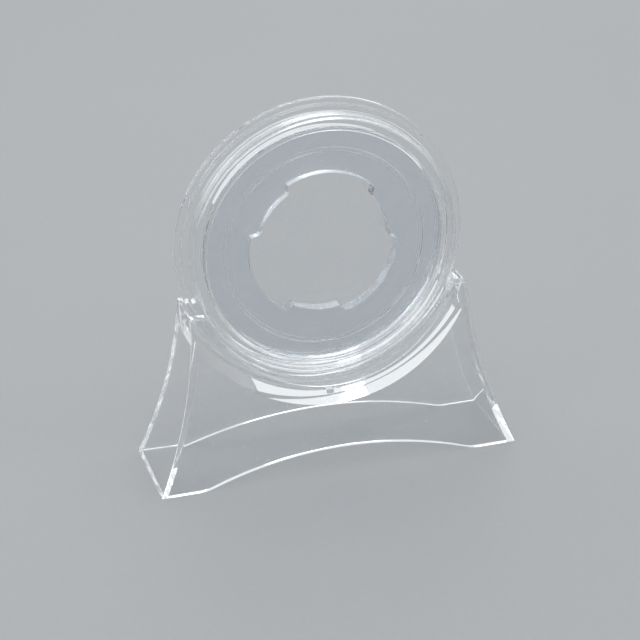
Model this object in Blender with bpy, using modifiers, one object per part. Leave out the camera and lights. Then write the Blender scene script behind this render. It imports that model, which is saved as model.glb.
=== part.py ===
"""A clear display stand that holds a round two-shell coin capsule with an adapter ring inside.

Metres, +Z up.  The stand's footprint is centred on the origin, its feet are on Z = 0, and the
capsule faces -Y.  Every turned piece is drawn about its own Z axis, which points to the front.
"""

import math

import bmesh
import bpy
import numpy as np

mm = 0.001

# Stand: a thin-walled moulding, open underneath
STAND_HEIGHT = 32.7 * mm
FOOT_HALF_WIDTH = 34.7 * mm
TOP_HALF_WIDTH = 26.5 * mm
FLARE_DRAFT = 0.045          # how much the end walls spread per metre just under the top
FOOT_HALF_DEPTH = 10.2 * mm
TOP_HALF_DEPTH = 5.54 * mm
STAND_WALL = 1.4 * mm
SHELF_THICKNESS = 0.9 * mm
ARCH_HEIGHT = 4.5 * mm
ARCH_RADIUS = 77.0 * mm
ARCH_BLEND = 8.0 * mm

# Cradle: two lips with a groove between them, all concentric with the capsule
CAPSULE_CENTRE_Z = 42.2 * mm
LIP_RADIUS = 25.45 * mm
GROOVE_RADIUS = 27.85 * mm
GROOVE_HALF_WIDTH = 3.3 * mm
SADDLE_RADIUS = 29.5 * mm    # the under side of the solid saddle that the groove is cut in
GATE_RADIUS = 1.3 * mm
GATE_HEIGHT = 0.7 * mm

# Capsule: heights along its axis are measured from its middle plane towards the front
CAVITY_RADIUS = 23.0 * mm
CAVITY_HALF_DEPTH = 1.7 * mm
WINDOW_THICKNESS = 1.05 * mm
RIM_FACE = 3.1 * mm          # the raised rims that stand round both windows
WINDOW_EDGE_RADIUS = 22.4 * mm
BACK_BARREL_RADIUS = 24.6 * mm
BACK_WALL_RADIUS = 24.4 * mm
FLANGE_RADIUS = 27.5 * mm
FLANGE_BACK = 2.3 * mm
FLANGE_FRONT = 0.7 * mm
COLLAR_INSIDE = 25.4 * mm
COLLAR_OUTSIDE = 26.6 * mm
COLLAR_TOP = 0.5 * mm
LID_RADIUS = 25.1 * mm
LID_WALL_THICKNESS = 0.4 * mm
FIT_GAP = 0.3 * mm

# Adapter ring
RING_RADIUS = CAVITY_RADIUS - FIT_GAP
RING_HALF_THICKNESS = CAVITY_HALF_DEPTH - FIT_GAP
RING_CHAMFER = 0.4 * mm
TAB_RADIUS = 12.6 * mm
LOBE_RADIUS = 14.1 * mm
TAB_HALF_ANGLE = math.radians(20.0)
STEP_ANGLE = math.radians(5.0)
TAB_ANGLES = [math.radians(angle) for angle in (22.0, 142.0, 262.0)]

TURN_STEPS = 80
RING_STEPS = 180
ARC_STEPS = 24
CUTTER_STEPS = 144


def clear_scene():
    for item in list(bpy.data.objects):
        bpy.data.objects.remove(item, do_unlink=True)


def new_collection(name):
    collection = bpy.data.collections.new(name)
    bpy.context.scene.collection.children.link(collection)
    return collection


def new_material(name, colour, roughness, alpha):
    material = bpy.data.materials.new(name)
    material.use_nodes = True
    shader = material.node_tree.nodes["Principled BSDF"]
    shader.inputs["Base Color"].default_value = (*colour, 1.0)
    shader.inputs["Roughness"].default_value = roughness
    shader.inputs["Metallic"].default_value = 0.0
    shader.inputs["Alpha"].default_value = alpha
    return material


def link_mesh(name, mesh, collection, material=None):
    item = bpy.data.objects.new(name, mesh)
    collection.objects.link(item)
    if material:
        mesh.materials.append(material)
    return item


def smooth(item):
    item.data.shade_smooth()
    item.data.set_sharp_from_angle(angle=math.radians(35.0))


def cut(item, operation, tool, name):
    modifier = item.modifiers.new(name, "BOOLEAN")
    modifier.operation = operation
    modifier.solver = "EXACT"
    modifier.object = tool


def arc(centre, radius, start, end, steps):
    angles = np.linspace(start, end, steps + 1)
    return [(centre[0] + radius * math.cos(a), centre[1] + radius * math.sin(a)) for a in angles]


# --- turned pieces ---------------------------------------------------------------------------


def turned(name, profile, collection, material):
    """Spins an (r, height) profile that runs down its outer side, then stands it up facing -Y."""
    builder = bmesh.new()
    points = [builder.verts.new((r, 0.0, h)) for r, h in profile]
    for a, b in zip(points, points[1:]):
        builder.edges.new((a, b))
    mesh = bpy.data.meshes.new(name)
    builder.to_mesh(mesh)
    builder.free()
    item = link_mesh(name, mesh, collection, material)
    smooth(item)
    screw = item.modifiers.new("turn", "SCREW")
    screw.axis = "Z"
    screw.steps = TURN_STEPS
    screw.render_steps = TURN_STEPS
    screw.use_merge_vertices = True
    screw.merge_threshold = 0.00001
    item.rotation_euler = (math.radians(90.0), 0.0, 0.0)
    item.location = (0.0, 0.0, CAPSULE_CENTRE_Z)
    return item


def back_shell(collection, material):
    window_face = CAVITY_HALF_DEPTH + WINDOW_THICKNESS
    wall_top = CAVITY_HALF_DEPTH - FIT_GAP
    profile = [
        (0.0, -CAVITY_HALF_DEPTH),
        (CAVITY_RADIUS, -CAVITY_HALF_DEPTH),
        (CAVITY_RADIUS, wall_top),
        (BACK_WALL_RADIUS, wall_top),
        (BACK_WALL_RADIUS, -FLANGE_FRONT),
        (COLLAR_INSIDE, -FLANGE_FRONT),
        (COLLAR_INSIDE, COLLAR_TOP),
        (COLLAR_OUTSIDE, COLLAR_TOP),
        (COLLAR_OUTSIDE, -FLANGE_FRONT),
        (FLANGE_RADIUS - 0.3 * mm, -FLANGE_FRONT),
        (FLANGE_RADIUS, -FLANGE_FRONT - 0.3 * mm),
        (FLANGE_RADIUS, -FLANGE_BACK + 0.3 * mm),
        (FLANGE_RADIUS - 0.3 * mm, -FLANGE_BACK),
        (BACK_BARREL_RADIUS, -FLANGE_BACK),
        (BACK_BARREL_RADIUS - 0.2 * mm, -RIM_FACE),
        (WINDOW_EDGE_RADIUS + 0.3 * mm, -RIM_FACE),
        (WINDOW_EDGE_RADIUS, -window_face),
        (0.0, -window_face),
    ]
    return turned("back_shell", profile, collection, material)


def front_shell(collection, material):
    window_face = CAVITY_HALF_DEPTH + WINDOW_THICKNESS
    skirt_inside = LID_RADIUS - LID_WALL_THICKNESS
    profile = [
        (0.0, window_face),
        (WINDOW_EDGE_RADIUS, window_face),
        (WINDOW_EDGE_RADIUS + 0.3 * mm, RIM_FACE),
        (LID_RADIUS - 0.3 * mm, RIM_FACE),
        (LID_RADIUS, RIM_FACE - 0.3 * mm),
        (LID_RADIUS, -FLANGE_FRONT + FIT_GAP),
        (skirt_inside, -FLANGE_FRONT + FIT_GAP),
        (skirt_inside, CAVITY_HALF_DEPTH),
        (0.0, CAVITY_HALF_DEPTH),
    ]
    return turned("front_shell", profile, collection, material)


# --- adapter ring ----------------------------------------------------------------------------


def hole_radius(angle):
    """Three tabs reach in to the coin, three wider lobes lie between them."""
    nearest = min(abs(math.remainder(angle - tab, math.tau)) for tab in TAB_ANGLES)
    share = (nearest - TAB_HALF_ANGLE) / STEP_ANGLE
    share = min(max(share, 0.0), 1.0)
    return TAB_RADIUS + (LOBE_RADIUS - TAB_RADIUS) * share * share * (3.0 - 2.0 * share)


def ring_section(angle):
    """The ring's cut face at one angle: outer side with its two chamfers, then the hole."""
    hole, top = hole_radius(angle), RING_HALF_THICKNESS
    return [
        (RING_RADIUS - RING_CHAMFER, top),
        (RING_RADIUS, top - RING_CHAMFER),
        (RING_RADIUS, RING_CHAMFER - top),
        (RING_RADIUS - RING_CHAMFER, -top),
        (hole, -top),
        (hole, top),
    ]


def adapter_ring(collection, material):
    builder = bmesh.new()
    sections = []
    for angle in np.linspace(0.0, math.tau, RING_STEPS, endpoint=False):
        place = (math.cos(angle), math.sin(angle))
        section = [builder.verts.new((r * place[0], r * place[1], h)) for r, h in ring_section(angle)]
        sections.append(section)
    for near, far in zip(sections, sections[1:] + sections[:1]):
        for upper, lower in zip(range(6), [1, 2, 3, 4, 5, 0]):
            builder.faces.new((near[upper], near[lower], far[lower], far[upper]))
    mesh = bpy.data.meshes.new("adapter_ring")
    builder.to_mesh(mesh)
    builder.free()
    item = link_mesh("adapter_ring", mesh, collection, material)
    smooth(item)
    item.rotation_euler = (math.radians(90.0), 0.0, 0.0)
    item.location = (0.0, 0.0, CAPSULE_CENTRE_Z)
    return item


# --- stand -----------------------------------------------------------------------------------


def half_width(z):
    """The end walls flare outward to the feet in one concave curve."""
    drop = STAND_HEIGHT - z
    whole_spread = FOOT_HALF_WIDTH - TOP_HALF_WIDTH - FLARE_DRAFT * STAND_HEIGHT
    return TOP_HALF_WIDTH + FLARE_DRAFT * drop + whole_spread * (drop / STAND_HEIGHT) ** 2


def half_depth(z):
    """The front and back walls lean towards each other."""
    return FOOT_HALF_DEPTH + (TOP_HALF_DEPTH - FOOT_HALF_DEPTH) * z / STAND_HEIGHT


def arch_outline():
    """The lower edge from the right foot to the left one: blend, long arc, blend."""
    arc_centre = (0.0, ARCH_HEIGHT - ARCH_RADIUS)
    reach = ARCH_RADIUS + ARCH_BLEND
    blend_x = math.sqrt(reach ** 2 - (ARCH_BLEND - arc_centre[1]) ** 2)
    lean = math.asin(blend_x / reach)
    down, up = -math.pi / 2, math.pi / 2
    right = arc((blend_x, ARCH_BLEND), ARCH_BLEND, down, down - lean, 4)
    middle = arc(arc_centre, ARCH_RADIUS, up - lean, up + lean, ARC_STEPS)
    left = arc((-blend_x, ARCH_BLEND), ARCH_BLEND, down + lean, down, 4)
    return right + middle[1:-1] + left


def leaning_prism(name, outline, inset, collection, material=None):
    """Stretches an (x, z) outline between the leaning front and back planes, moved in by inset."""
    builder = bmesh.new()
    front = [builder.verts.new((x, inset - half_depth(z), z)) for x, z in outline]
    builder.faces.new(front)
    moved = bmesh.ops.extrude_face_region(builder, geom=list(builder.faces))["geom"]
    for vert in [v for v in moved if isinstance(v, bmesh.types.BMVert)]:
        vert.co.y = half_depth(vert.co.z) - inset
    bmesh.ops.recalc_face_normals(builder, faces=list(builder.faces))
    mesh = bpy.data.meshes.new(name)
    builder.to_mesh(mesh)
    builder.free()
    return link_mesh(name, mesh, collection, material)


def cylinder_tool(name, radius, half_length, collection):
    builder = bmesh.new()
    bmesh.ops.create_cone(
        builder, cap_ends=True, segments=CUTTER_STEPS,
        radius1=radius, radius2=radius, depth=2.0 * half_length,
    )
    mesh = bpy.data.meshes.new(name)
    builder.to_mesh(mesh)
    builder.free()
    item = link_mesh(name, mesh, collection)
    item.rotation_euler = (math.radians(90.0), 0.0, 0.0)
    item.location = (0.0, 0.0, CAPSULE_CENTRE_Z)
    return item


def outer_outline():
    heights = np.linspace(0.0, STAND_HEIGHT, 13)
    right_side = [(half_width(z), z) for z in heights]
    left_side = [(-x, z) for x, z in reversed(right_side)]
    return right_side + left_side + arch_outline()[::-1]


def hollow_outline():
    heights = np.linspace(-STAND_WALL, STAND_HEIGHT - SHELF_THICKNESS, 13)
    right_side = [(half_width(z) - STAND_WALL, z) for z in heights]
    left_side = [(-x, z) for x, z in reversed(right_side)]
    return right_side + left_side


def stand(collection, tools, material):
    through = 2.0 * FOOT_HALF_DEPTH
    item = leaning_prism("stand", outer_outline(), 0.0, collection, material)
    hollow = leaning_prism("hollow", hollow_outline(), STAND_WALL, tools)
    cut(hollow, "DIFFERENCE", cylinder_tool("saddle", SADDLE_RADIUS, through, tools), "keep saddle")
    cut(item, "DIFFERENCE", hollow, "hollow out")
    cut(item, "DIFFERENCE", cylinder_tool("lip_bore", LIP_RADIUS, through, tools), "lips")
    groove = cylinder_tool("groove", GROOVE_RADIUS, GROOVE_HALF_WIDTH, tools)
    cut(item, "DIFFERENCE", groove, "groove")
    cut(item, "UNION", gate_stub(tools), "gate stub")
    smooth(item)
    return item


def gate_stub(tools):
    """The short stub that moulding leaves under the middle of the cradle."""
    under_side = CAPSULE_CENTRE_Z - SADDLE_RADIUS
    builder = bmesh.new()
    bmesh.ops.create_cone(
        builder, cap_ends=True, segments=16,
        radius1=0.8 * GATE_RADIUS, radius2=GATE_RADIUS, depth=2.0 * GATE_HEIGHT,
    )
    mesh = bpy.data.meshes.new("gate_stub")
    builder.to_mesh(mesh)
    builder.free()
    item = link_mesh("gate_stub", mesh, tools)
    item.location = (0.0, 0.0, under_side)
    return item


def hide_tools(tools):
    for item in tools.objects:
        item.hide_render = True
        item.display_type = "WIRE"


def main():
    clear_scene()
    parts = new_collection("coin_capsule")
    tools = new_collection("cutters")
    clear_plastic = new_material("clear_plastic", (0.93, 0.95, 0.96), 0.05, 0.25)
    frosted_plastic = new_material("frosted_plastic", (0.78, 0.82, 0.87), 0.35, 0.6)

    stand(parts, tools, clear_plastic)
    back = back_shell(parts, clear_plastic)
    lid = front_shell(parts, clear_plastic)
    ring = adapter_ring(parts, frosted_plastic)

    # The lid and the ring come out of the back shell along the capsule's axis.
    bpy.context.view_layer.update()
    for piece in (lid, ring):
        piece.parent = back
        piece.matrix_parent_inverse = back.matrix_world.inverted()
    hide_tools(tools)


main()
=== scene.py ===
import math
import bmesh
import bpy
from mathutils import Matrix, Vector


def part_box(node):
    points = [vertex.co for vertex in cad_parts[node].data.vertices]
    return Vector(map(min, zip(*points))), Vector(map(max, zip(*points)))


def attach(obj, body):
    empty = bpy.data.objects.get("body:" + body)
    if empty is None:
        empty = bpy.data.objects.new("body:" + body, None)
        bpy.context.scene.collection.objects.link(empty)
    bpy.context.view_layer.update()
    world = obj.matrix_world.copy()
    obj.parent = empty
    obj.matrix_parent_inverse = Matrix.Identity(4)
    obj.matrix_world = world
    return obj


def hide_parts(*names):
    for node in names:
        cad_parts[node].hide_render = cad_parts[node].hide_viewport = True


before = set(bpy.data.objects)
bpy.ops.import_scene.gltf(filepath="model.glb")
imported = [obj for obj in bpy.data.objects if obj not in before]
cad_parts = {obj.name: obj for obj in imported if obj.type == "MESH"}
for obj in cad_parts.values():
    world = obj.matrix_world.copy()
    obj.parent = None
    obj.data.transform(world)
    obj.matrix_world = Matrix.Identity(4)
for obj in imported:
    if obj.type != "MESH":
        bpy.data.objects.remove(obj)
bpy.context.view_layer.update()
mm = 0.001
smoothLimit = 38  # degrees; a turn between faces that is sharper stays crisp

# Places and outside sizes come from the frame
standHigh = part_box("stand")[1]
baseLow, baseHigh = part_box("back_shell")
lidLow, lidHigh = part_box("front_shell")
ringLow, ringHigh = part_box("adapter_ring")
capsuleZ = (baseLow.z + baseHigh.z) / 2
standHeight = standHigh.z
print("frame loaded, capsule centre at", round(capsuleZ / mm, 2), "mm")


class Wire:
    # Wraps one output of a node, so that sums on values read as Python
    def __init__(self, tree, socket=None):
        self.tree = tree
        self.socket = socket

    def node(self, kind, settings=None, values=None, output=0):
        made = self.tree.nodes.new(kind)
        for name, value in (settings or {}).items():
            if name == "stops":
                self.setStops(made.color_ramp, value)
            else:
                setattr(made, name, value)
        for key, value in (values or {}).items():
            self.feed(made.inputs[key], value)
        return Wire(self.tree, made.outputs[output] if made.outputs else None)

    def setStops(self, ramp, stops):
        while len(ramp.elements) < len(stops):
            ramp.elements.new(0.5)
        for element, (place, shade) in zip(ramp.elements, stops):
            element.position = place
            element.color = (shade, shade, shade, 1)

    def feed(self, socket, value):
        if isinstance(value, Wire):
            self.tree.links.new(value.socket, socket)
        else:
            socket.default_value = value

    def sum(self, operation, first, second):
        return self.node("ShaderNodeMath", {"operation": operation}, {0: first, 1: second})

    def __add__(self, other):
        return self.sum("ADD", self, other)

    def __radd__(self, other):
        return self.sum("ADD", other, self)

    def __mul__(self, other):
        return self.sum("MULTIPLY", self, other)

    def __rmul__(self, other):
        return self.sum("MULTIPLY", other, self)

    def clamp(self):
        return self.node("ShaderNodeClamp", None, {0: self})

    def scaledBy(self, factors):
        return self.node("ShaderNodeVectorMath", {"operation": "MULTIPLY"}, {0: self, 1: factors})

    def noise(self, place, scale, detail=2.0, distortion=0.0):
        values = {"Vector": place, "Scale": scale, "Detail": detail, "Distortion": distortion}
        return self.node("ShaderNodeTexNoise", None, values)

    def ramp(self, low, high):
        return self.node("ShaderNodeValToRGB", {"stops": [(low, 0.0), (high, 1.0)]}, {0: self})

    def tint(self, factor, first, second):
        return self.node("ShaderNodeMix", {"data_type": "RGBA"}, {0: factor, 6: first, 7: second}, 2)


def newMaterial(name):
    material = bpy.data.materials.new(name)
    material.use_nodes = True
    material.node_tree.nodes.clear()
    return material, Wire(material.node_tree)


clearValues = {
    "tintThin": (0.99, 0.995, 0.998, 1), "tintDeep": (0.955, 0.97, 0.98, 1),
    # The edge colour next is a painted edge highlight: it whitens the colour of the matt edges
    "paintedEdgeHighlight": (0.995, 0.998, 1.0, 1),
    "ior": 1.57, "polish": 0.02, "smudge": 0.05, "scratch": 0.10, "mattEdge": 0.2,
    "wave": 0.05, "waveDepth": 0.00010, "shadowShade": (0.90, 0.92, 0.935, 1),
}
hazeValues = {
    "tintThin": (0.905, 0.93, 0.955, 1), "tintDeep": (0.85, 0.885, 0.92, 1),
    # The edge colour next is a painted edge highlight: it whitens the colour of the ring's matt edges and
    # wall
    "paintedEdgeHighlight": (0.99, 0.995, 1.0, 1),
    "ior": 1.50, "transmission": 0.94, "polish": 0.07, "smudge": 0.07, "scratch": 0.12,
    "mattEdge": 0.24, "wave": 0.10, "waveDepth": 0.00008, "shadowShade": (0.86, 0.88, 0.90, 1),
}


def clearPlastic(name, values, along):
    # Clear moulding: flow waves, handling smudges, fine hairlines, specks of dust and matt edges, whose
    # colour is also whitened as a painted edge highlight
    material, wire = newMaterial(name)
    place = wire.node("ShaderNodeTexCoord", output=3)  # object coordinates
    flow = wire.noise(place.scaledBy(along), 1.0, 2.0, 0.6)
    smudges = wire.noise(place, 210.0, 4.0, 1.2).ramp(0.52, 0.74)
    hairs = wire.noise(place.scaledBy((5200.0, 5200.0, 260.0)), 1.0, 2.0, 0.4).ramp(0.66, 0.72)
    crossHairs = wire.noise(place.scaledBy((330.0, 900.0, 4700.0)), 1.0, 2.0, 0.5).ramp(0.68, 0.73)
    specks = wire.noise(place, 3100.0, 1.0).ramp(0.755, 0.80)
    marks = (hairs + crossHairs).clamp()
    # The edge mask makes edges matt and also says where the painted edge highlight goes
    edges = wire.node("ShaderNodeAttribute", {"attribute_name": "matt"}, output=2)  # 0 clear, 1 matt
    roughness = values["polish"] + smudges * values["smudge"] + marks * values["scratch"] + specks * 0.3
    roughness = roughness + edges * values["mattEdge"]
    colour = wire.tint(flow, values["tintThin"], values["tintDeep"])
    # Painted edge highlight: the edge mask whitens the colour of the edges
    colour = wire.tint(edges, colour, values["paintedEdgeHighlight"])
    height = flow + marks * -0.05 + specks * 0.12
    bump = wire.node("ShaderNodeBump", None, {
        "Strength": values["wave"], "Distance": values["waveDepth"], "Height": height,
    })
    shader = wire.node("ShaderNodeBsdfPrincipled", None, {
        "Base Color": colour, "Roughness": roughness, "Normal": bump, "IOR": values["ior"],
        "Transmission Weight": values.get("transmission", 1.0),
    })
    through = wire.node("ShaderNodeBsdfTransparent", None, {0: values["shadowShade"]})
    shadowRay = wire.node("ShaderNodeLightPath", output=1)  # shadows pass through, lightly tinted
    both = wire.node("ShaderNodeMixShader", None, {0: shadowRay, 1: shader, 2: through})
    wire.node("ShaderNodeOutputMaterial", {"target": "ALL"}, {0: both})
    return material


def floorFinish(values):
    material, wire = newMaterial("paleFloor")
    place = wire.node("ShaderNodeTexCoord", output=3)  # object coordinates
    grain = wire.noise(place, 900.0, 3.0)
    clouds = wire.noise(place, 5.0, 2.0)
    colour = wire.tint(clouds * 0.6 + grain * 0.4, values["light"], values["dark"])
    bump = wire.node("ShaderNodeBump", None, {"Strength": 0.15, "Distance": 0.0001, "Height": grain})
    shader = wire.node("ShaderNodeBsdfPrincipled", None, {
        "Base Color": colour, "Roughness": 0.55 + grain * 0.1, "Normal": bump,
    })
    wire.node("ShaderNodeOutputMaterial", {"target": "ALL"}, {0: shader})
    return material


def rounded(corners, steps=4):
    # Turns (across, along, fillet) corners into a line of (across, along, on an arc or not),
    # with a support point beside each arc
    line = []
    for index, (across, along, fillet) in enumerate(corners):
        here = Vector((across, along))
        if not fillet:
            line.append((across, along, False))
            continue
        before = Vector(corners[index - 1][:2]) - here
        after = Vector(corners[(index + 1) % len(corners)][:2]) - here
        halfAngle = before.angle(after) / 2
        cutBack = min(fillet / math.tan(halfAngle), 0.42 * before.length, 0.42 * after.length)
        radius = cutBack * math.tan(halfAngle)
        before.normalize()
        after.normalize()
        centre = here + (before + after).normalized() * (radius / math.sin(halfAngle))
        start = here + before * cutBack - centre
        end = here + after * cutBack - centre
        support = min(0.25 * radius, 0.03 * mm)
        line.append((*(here + before * (cutBack + support)), False))
        for step in range(steps + 1):
            share = step / steps
            line.append((*(centre + start.lerp(end, share).normalized() * radius), True))
        line.append((*(here + after * (cutBack + support)), False))
    return line


def newBuilder():
    # The corner layer says how matt each face is, and how far its colour is whitened as a painted edge
    # highlight
    builder = bmesh.new()
    builder.loops.layers.float.new("matt")
    return builder


def makeMattAndPaintedHighlight(builder, face, amount):
    layer = builder.loops.layers.float["matt"]
    for loop in face.loops:
        loop[layer] = amount


def pieceFrom(name, builder, material, body):
    # The body and the node that it takes the place of share one name
    bmesh.ops.recalc_face_normals(builder, faces=builder.faces)
    mesh = bpy.data.meshes.new(name)
    builder.to_mesh(mesh)
    builder.free()
    mesh.materials.append(material)
    mesh.shade_smooth()
    mesh.set_sharp_from_angle(angle=math.radians(smoothLimit))
    piece = bpy.data.objects.new(name, mesh)
    bpy.context.scene.collection.objects.link(piece)
    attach(piece, body)
    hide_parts(body)
    return piece


def onCapsule(radius, angle, height):
    # The capsule's axis runs along Y, and its front faces -Y
    return (radius * math.cos(angle), -height, capsuleZ + radius * math.sin(angle))


def turned(builder, line, steps, shaped):
    # Spins a line that starts and ends on the axis
    rings = []
    for radius, height, onArc in line:
        if radius < 1e-7:
            rings.append([builder.verts.new(onCapsule(0, 0, height))])
            continue
        ring = []
        for step in range(steps):
            angle = math.tau * step / steps
            ring.append(builder.verts.new(onCapsule(shaped(radius, height, angle), angle, height)))
        rings.append(ring)
    for index in range(len(rings) - 1):
        near, far = rings[index], rings[index + 1]
        # Faces on the arcs are matt, and their colour gets the painted edge highlight
        matt = line[index][2] and line[index + 1][2]
        for step in range(steps):
            following = (step + 1) % steps
            if len(near) == 1:
                face = builder.faces.new((near[0], far[step], far[following]))
            elif len(far) == 1:
                face = builder.faces.new((near[step], far[0], near[following]))
            else:
                face = builder.faces.new((near[step], far[step], far[following], near[following]))
            makeMattAndPaintedHighlight(builder, face, float(matt))


def closeness(angle, places, reach):
    # 1 in the middle of the nearest place, falling smoothly to 0 at reach
    nearest = min(abs(math.remainder(angle - math.radians(place), math.tau)) for place in places)
    share = max(0.0, 1.0 - nearest / math.radians(reach))
    return share * share * (3 - 2 * share)


baseValues = {
    "steps": 360, "hubRadius": 1.6, "cavityRadius": 23.0, "cavityHalf": 1.7,
    "wallRadius": 24.4, "wallTop": 1.4,
    "flangeFront": 0.7, "flangeBack": 2.3, "collarInside": 25.4, "collarOutside": 26.6,
    "collarTop": 0.5, "barrelRadius": 24.6, "rimInner": 22.7, "windowEdge": 22.4,
    "windowFace": 2.75, "ribAngles": [20, 42, 125, 136, 154, 200, 222, 305, 316, 334],
    "ribReach": 2.1, "ribHeight": 0.22, "gateAngles": [103, 267], "gateReach": 2.6, "gateHeight": 0.12,
}


def capsuleBase(material):
    v = baseValues
    flangeRadius = (baseHigh.x - baseLow.x) / 2 / mm
    rimFace = -(baseHigh.y / mm)
    corners = [
        (0, -v["cavityHalf"], 0), (v["hubRadius"], -v["cavityHalf"], 0),
        (v["cavityRadius"], -v["cavityHalf"], 0.25),
        (v["cavityRadius"], v["wallTop"], 0.2), (v["wallRadius"], v["wallTop"], 0.25),
        (v["wallRadius"], -v["flangeFront"], 0.15), (v["collarInside"], -v["flangeFront"], 0.15),
        (v["collarInside"], v["collarTop"], 0.2), (v["collarOutside"], v["collarTop"], 0.3),
        (v["collarOutside"], -v["flangeFront"], 0.15), (flangeRadius, -v["flangeFront"], 0.3),
        (flangeRadius, -v["flangeBack"], 0.3), (v["barrelRadius"], -v["flangeBack"], 0.15),
        (v["barrelRadius"] - 0.2, rimFace, 0.2), (v["rimInner"], rimFace, 0.12),
        (v["windowEdge"], -v["windowFace"], 0.15), (v["hubRadius"], -v["windowFace"], 0),
        (0, -v["windowFace"], 0),
    ]
    line = rounded([(r * mm, h * mm, f * mm) for r, h, f in corners])

    def ribbed(radius, height, angle):
        # Snap ribs on the collar's outside, and trimmed gate marks on the flange's edge
        near = 0.06
        onCollar = abs(radius / mm - v["collarOutside"]) < near and height / mm < v["collarTop"] - 0.1
        onEdge = abs(radius / mm - flangeRadius) < near
        ribs = onCollar * v["ribHeight"] * closeness(angle, v["ribAngles"], v["ribReach"])
        gates = onEdge * v["gateHeight"] * closeness(angle, v["gateAngles"], v["gateReach"])
        return radius + (ribs + gates) * mm

    builder = newBuilder()
    turned(builder, line, v["steps"], ribbed)
    return pieceFrom("capsule_base", builder, material, "back_shell")


lidValues = {
    "steps": 288, "hubRadius": 1.6, "windowFace": 2.75, "windowEdge": 22.4, "rimInner": 22.7,
    "skirtInside": 24.7, "skirtEnd": -0.4, "cavityHalf": 1.7,
}


def capsuleLid(material):
    v = lidValues
    lidRadius = (lidHigh.x - lidLow.x) / 2 / mm
    rimFace = -lidLow.y / mm
    corners = [
        (0, v["windowFace"], 0), (v["hubRadius"], v["windowFace"], 0),
        (v["windowEdge"], v["windowFace"], 0.15),
        (v["rimInner"], rimFace, 0.12), (lidRadius, rimFace, 0.35), (lidRadius, v["skirtEnd"], 0.12),
        (v["skirtInside"], v["skirtEnd"], 0.15), (v["skirtInside"], v["cavityHalf"], 0.2),
        (v["hubRadius"], v["cavityHalf"], 0), (0, v["cavityHalf"], 0),
    ]
    line = rounded([(r * mm, h * mm, f * mm) for r, h, f in corners])
    builder = newBuilder()
    turned(builder, line, v["steps"], lambda radius, height, angle: radius)
    return pieceFrom("capsule_lid", builder, material, "front_shell")


ringValues = {
    "steps": 720, "tabRadius": 12.6, "lobeRadius": 14.1, "tabAngles": [22, 142, 262],
    "tabHalfAngle": 20.0, "stepAngle": 5.0, "outerFillet": 0.35, "holeFillet": 0.2,
    "stepOuter": 19.1, "stepInner": 18.3,
    "stepDepth": 0.3, "stepFillet": 0.13, "wallMattAndPaintedHighlight": 0.4,
}


def holeRadius(angle):
    # Three tabs reach in to the coin, and three wider lobes lie between them
    v = ringValues
    nearest = min(abs(math.remainder(angle - math.radians(tab), math.tau)) for tab in v["tabAngles"])
    share = (math.degrees(nearest) - v["tabHalfAngle"]) / v["stepAngle"]
    share = min(max(share, 0.0), 1.0)
    return v["tabRadius"] + (v["lobeRadius"] - v["tabRadius"]) * share * share * (3 - 2 * share)


def coinRing(material):
    v = ringValues
    outer = (ringHigh.x - ringLow.x) / 2 / mm
    top = (ringHigh.y - ringLow.y) / 2 / mm
    low = top - v["stepDepth"]
    builder = newBuilder()
    sections = []
    for step in range(v["steps"]):
        angle = math.tau * step / v["steps"]
        hole = holeRadius(angle)
        corners = [
            (outer, top, v["outerFillet"]), (outer, -top, v["outerFillet"]), (hole, -top, v["holeFillet"]),
            (hole, top, v["holeFillet"]), (v["stepInner"], top, v["stepFillet"]),
            (v["stepInner"] + 0.12, low, 0.05), (v["stepOuter"] - 0.12, low, 0.05),
            (v["stepOuter"], top, v["stepFillet"]),
        ]
        line = rounded([(r * mm, h * mm, f * mm) for r, h, f in corners], 3)
        sections.append([builder.verts.new(onCapsule(r, angle, h)) for r, h, onArc in line])
    count = len(sections[0])
    for near, far in zip(sections, sections[1:] + sections[:1]):
        for upper in range(count):
            lower = (upper + 1) % count
            face = builder.faces.new((near[upper], near[lower], far[lower], far[upper]))
            onWall = max(line[upper][0], line[lower][0]) < (v["lobeRadius"] + 0.05) * mm
            onArc = line[upper][2] and line[lower][2]
            # The hole's wall and the rounded arcs are matt, and their colour gets the painted edge
            # highlight
            makeMattAndPaintedHighlight(builder, face, v["wallMattAndPaintedHighlight"] if onWall else float(onArc))
    return pieceFrom("coin_ring", builder, material, "adapter_ring")


standValues = {
    "wall": 1.4, "shelf": 0.9, "topDepth": 5.54, "topWidth": 26.5, "flare": 0.045,
    "archHeight": 4.5, "archRadius": 77.0, "archBlend": 8.0,
    "lipRadius": 25.45, "grooveRadius": 27.85, "grooveHalf": 3.3, "saddleRadius": 29.5,
    "gateRadius": 1.3, "gateTaper": 0.8, "gateHeight": 0.7, "barHalf": 30.0,
    "edgeRound": 0.14, "roundSteps": 3, "roundOver": 24, "cutterSteps": 560, "sideSteps": 100,
    "archSteps": 180, "blendSteps": 12,
}


def halfWidth(z):
    # The end walls flare outward to the feet in one concave curve
    v = standValues
    drop = standHeight - z
    spread = standHigh.x - v["topWidth"] * mm - v["flare"] * standHeight
    return v["topWidth"] * mm + v["flare"] * drop + spread * (drop / standHeight) ** 2


def halfDepth(z):
    # The front and back walls lean towards each other
    foot = standHigh.y
    return foot + (standValues["topDepth"] * mm - foot) * z / standHeight


def arcPoints(centre, radius, start, end, steps):
    points = []
    for step in range(steps + 1):
        angle = start + (end - start) * step / steps
        points.append((centre[0] + radius * math.cos(angle), centre[1] + radius * math.sin(angle)))
    return points


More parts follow.
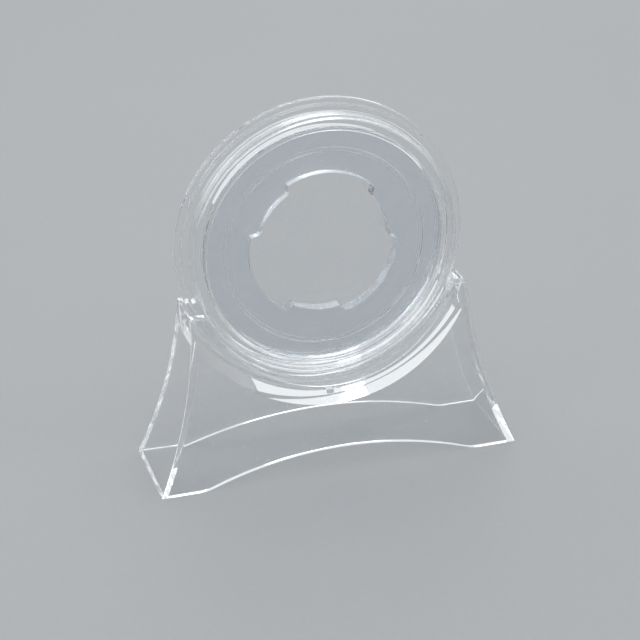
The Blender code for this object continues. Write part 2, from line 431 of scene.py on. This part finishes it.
def archOutline():
    # The lower edge from the right foot to the left one: blend, long arc, blend
    v = standValues
    blend = v["archBlend"] * mm
    middleZ = (v["archHeight"] - v["archRadius"]) * mm
    reach = v["archRadius"] * mm + blend
    blendX = math.sqrt(reach ** 2 - (blend - middleZ) ** 2)
    lean = math.asin(blendX / reach)
    down = -math.pi / 2
    right = arcPoints((blendX, blend), blend, down, down - lean, v["blendSteps"])
    middle = arcPoints((0, middleZ), v["archRadius"] * mm, -down - lean, -down + lean, v["archSteps"])
    left = arcPoints((-blendX, blend), blend, down + lean, down, v["blendSteps"])
    return right + middle[1:-1] + left


def sidePoints(low, high, inset):
    steps = standValues["sideSteps"]
    points = []
    for step in range(steps + 1):
        z = low + (high - low) * step / steps
        points.append((halfWidth(z) - inset, z))
    return points + [(-x, z) for x, z in reversed(points)]


def leaningPrism(outline, inset):
    builder = bmesh.new()
    front = [builder.verts.new((x, inset - halfDepth(z), z)) for x, z in outline]
    back = [builder.verts.new((x, halfDepth(z) - inset, z)) for x, z in outline]
    builder.faces.new(front)
    builder.faces.new(list(reversed(back)))
    count = len(outline)
    for index in range(count):
        following = (index + 1) % count
        builder.faces.new((front[index], back[index], back[following], front[following]))
    return builder


def roundBar(radius, halfLength):
    builder = bmesh.new()
    steps = standValues["cutterSteps"]
    angles = [math.tau * step / steps for step in range(steps)]
    front = [builder.verts.new(onCapsule(radius, angle, halfLength)) for angle in angles]
    back = [builder.verts.new(onCapsule(radius, angle, -halfLength)) for angle in angles]
    builder.faces.new(front)
    builder.faces.new(list(reversed(back)))
    for index in range(steps):
        following = (index + 1) % steps
        builder.faces.new((front[index], back[index], back[following], front[following]))
    return builder


def stubBar():
    v = standValues
    underside = capsuleZ - v["saddleRadius"] * mm
    builder = bmesh.new()
    bmesh.ops.create_cone(
        builder, cap_ends=True, segments=40, radius1=v["gateTaper"] * v["gateRadius"] * mm,
        radius2=v["gateRadius"] * mm, depth=2 * v["gateHeight"] * mm,
    )
    bmesh.ops.translate(builder, verts=builder.verts, vec=(0, 0, underside))
    return builder


def workPiece(name, builder):
    bmesh.ops.recalc_face_normals(builder, faces=builder.faces)
    mesh = bpy.data.meshes.new(name)
    builder.to_mesh(mesh)
    builder.free()
    work = bpy.data.objects.new(name, mesh)
    bpy.context.scene.collection.objects.link(work)
    return work


def combine(work, tool, operation):
    # Applies one boolean and throws the tool away
    modifier = work.modifiers.new("cut", "BOOLEAN")
    modifier.operation = operation
    modifier.solver = "EXACT"
    modifier.object = tool
    bpy.context.view_layer.update()
    shape = work.evaluated_get(bpy.context.evaluated_depsgraph_get())
    mesh = bpy.data.meshes.new_from_object(shape)
    work.modifiers.clear()
    work.data = mesh
    bpy.data.objects.remove(tool)


def onOuterSkin(point):
    # True on the surfaces that a hand can reach: walls outside, cradle, top and lower rim
    v = standValues
    near = 0.02 * mm
    fromAxis = math.hypot(point.x, point.z - capsuleZ)
    return (
        abs(abs(point.y) - halfDepth(point.z)) < near
        or abs(abs(point.x) - halfWidth(point.z)) < near
        or abs(point.z - standHeight) < near
        or abs(fromAxis - v["lipRadius"] * mm) < near
        or abs(fromAxis - v["grooveRadius"] * mm) < near
        or point.z < near
    )


def displayStand(material):
    v = standValues
    shell = workPiece("standWork", leaningPrism(
        sidePoints(0.0, standHeight, 0.0) + archOutline()[::-1], 0.0))
    hollow = workPiece("hollowWork", leaningPrism(
        sidePoints(-v["wall"] * mm, standHeight - v["shelf"] * mm, v["wall"] * mm), v["wall"] * mm))
    combine(hollow, workPiece("saddle", roundBar(v["saddleRadius"] * mm, v["barHalf"] * mm)), "DIFFERENCE")
    combine(shell, hollow, "DIFFERENCE")
    combine(shell, workPiece("lipBore", roundBar(v["lipRadius"] * mm, v["barHalf"] * mm)), "DIFFERENCE")
    groove = workPiece("groove", roundBar(v["grooveRadius"] * mm, v["grooveHalf"] * mm))
    combine(shell, groove, "DIFFERENCE")
    combine(shell, workPiece("gateStub", stubBar()), "UNION")
    builder = newBuilder()
    builder.from_mesh(shell.data)
    bpy.data.objects.remove(shell)
    bmesh.ops.remove_doubles(builder, verts=builder.verts, dist=0.01 * mm)
    bmesh.ops.dissolve_degenerate(builder, edges=builder.edges, dist=0.005 * mm)
    corners = []
    for edge in builder.edges:
        if len(edge.link_faces) == 2 and edge.calc_face_angle(0) > math.radians(v["roundOver"]):
            if onOuterSkin(edge.verts[0].co) and onOuterSkin(edge.verts[1].co):
                corners.append(edge)
    print("stand edges to round:", len(corners))
    rounding = bmesh.ops.bevel(
        builder, geom=corners, offset=v["edgeRound"] * mm, offset_type="OFFSET", segments=v["roundSteps"],
        profile=0.5, affect="EDGES", clamp_overlap=False, miter_outer="SHARP",
    )
    # The rounded edges are matt, and their colour gets the painted edge highlight
    for face in rounding["faces"]:
        makeMattAndPaintedHighlight(builder, face, 1.0)
    piece = pieceFrom("display_stand", builder, material, "stand")
    weighted = piece.modifiers.new("evenShading", "WEIGHTED_NORMAL")
    weighted.keep_sharp = True
    weighted.weight = 80
    return piece


sceneValues = {
    "floorSize": 3.0, "floorGap": 0.02, "bounces": 90, "clearBounces": 24,
    "floor": {"light": (0.345, 0.35, 0.355, 1), "dark": (0.315, 0.32, 0.327, 1)},
    "sky": (0.955, 0.98, 1.0, 1), "skyStrength": 0.95,
}
lampValues = {
    # name: (azimuth, elevation, distance, size, watts)
    "overhead": (20, 78, 0.75, 0.40, 0.8),
    "leftPanel": (-70, 35, 0.70, 0.25, 0.7),
    "rightPanel": (60, 30, 0.75, 0.25, 0.5),
    "backPanel": (165, 40, 0.80, 0.35, 0.8),
}
cameraValues = {
    "azimuth": -16.331, "elevation": 24.66, "roll": -1.385, "distance": 393.57,
    "target": (-0.707, 0.0, 26.631), "lens": 118.71, "sensor": 36.0,
}


def direction(azimuth, elevation):
    a, e = math.radians(azimuth), math.radians(elevation)
    return Vector((math.sin(a) * math.cos(e), -math.cos(a) * math.cos(e), math.sin(e)))


def paleFloor():
    v = sceneValues
    builder = bmesh.new()
    bmesh.ops.create_grid(builder, x_segments=8, y_segments=8, size=v["floorSize"] / 2)
    floor = workPiece("floor", builder)
    floor.location.z = -v["floorGap"] * mm
    floor.data.materials.append(floorFinish(v["floor"]))


def softLight():
    v = sceneValues
    world = bpy.data.worlds.new("softRoom")
    world.use_nodes = True
    background = world.node_tree.nodes["Background"]
    background.inputs["Color"].default_value = v["sky"]
    background.inputs["Strength"].default_value = v["skyStrength"]
    bpy.context.scene.world = world
    bpy.context.scene.view_settings.view_transform = "Standard"
    # Light runs a long way inside the clear walls before it leaves at an edge
    bpy.context.scene.cycles.max_bounces = v["bounces"]
    bpy.context.scene.cycles.transmission_bounces = v["bounces"]
    bpy.context.scene.cycles.glossy_bounces = v["bounces"]
    bpy.context.scene.cycles.transparent_max_bounces = v["clearBounces"]
    centre = Vector((0, 0, standHeight))
    for name, (azimuth, elevation, distance, size, watts) in lampValues.items():
        lamp = bpy.data.lights.new(name, "AREA")
        lamp.size = size
        lamp.energy = watts
        holder = bpy.data.objects.new(name, lamp)
        back = direction(azimuth, elevation)
        holder.location = centre + back * distance
        holder.rotation_euler = back.to_track_quat("Z", "Y").to_euler()
        bpy.context.scene.collection.objects.link(holder)


def viewCamera():
    v = cameraValues
    back = direction(v["azimuth"], v["elevation"])
    right = (-back).cross(Vector((0, 0, 1))).normalized()
    up = right.cross(-back)
    roll = math.radians(v["roll"])
    acrossView = right * math.cos(roll) + up * math.sin(roll)
    upView = up * math.cos(roll) - right * math.sin(roll)
    lens = bpy.data.cameras.new("viewCamera")
    lens.lens = v["lens"]
    lens.sensor_width = v["sensor"]
    lens.clip_start = 0.01
    camera = bpy.data.objects.new("viewCamera", lens)
    bpy.context.scene.collection.objects.link(camera)
    place = Vector(v["target"]) * mm + back * v["distance"] * mm
    axes = Matrix((acrossView, upView, back)).transposed()
    camera.matrix_world = Matrix.LocRotScale(place, axes, None)
    bpy.context.scene.camera = camera


shellClear = clearPlastic("shellClear", clearValues, (110.0, 60.0, 150.0))
standClear = clearPlastic("standClear", clearValues, (70.0, 90.0, 190.0))
ringHaze = clearPlastic("ringHaze", hazeValues, (160.0, 80.0, 160.0))
print("finishes made")
capsuleBase(shellClear)
capsuleLid(shellClear)
print("capsule shells made")
coinRing(ringHaze)
print("adapter ring made")
displayStand(standClear)
print("display stand made")
paleFloor()
softLight()
viewCamera()
print("floor, lights and camera made")
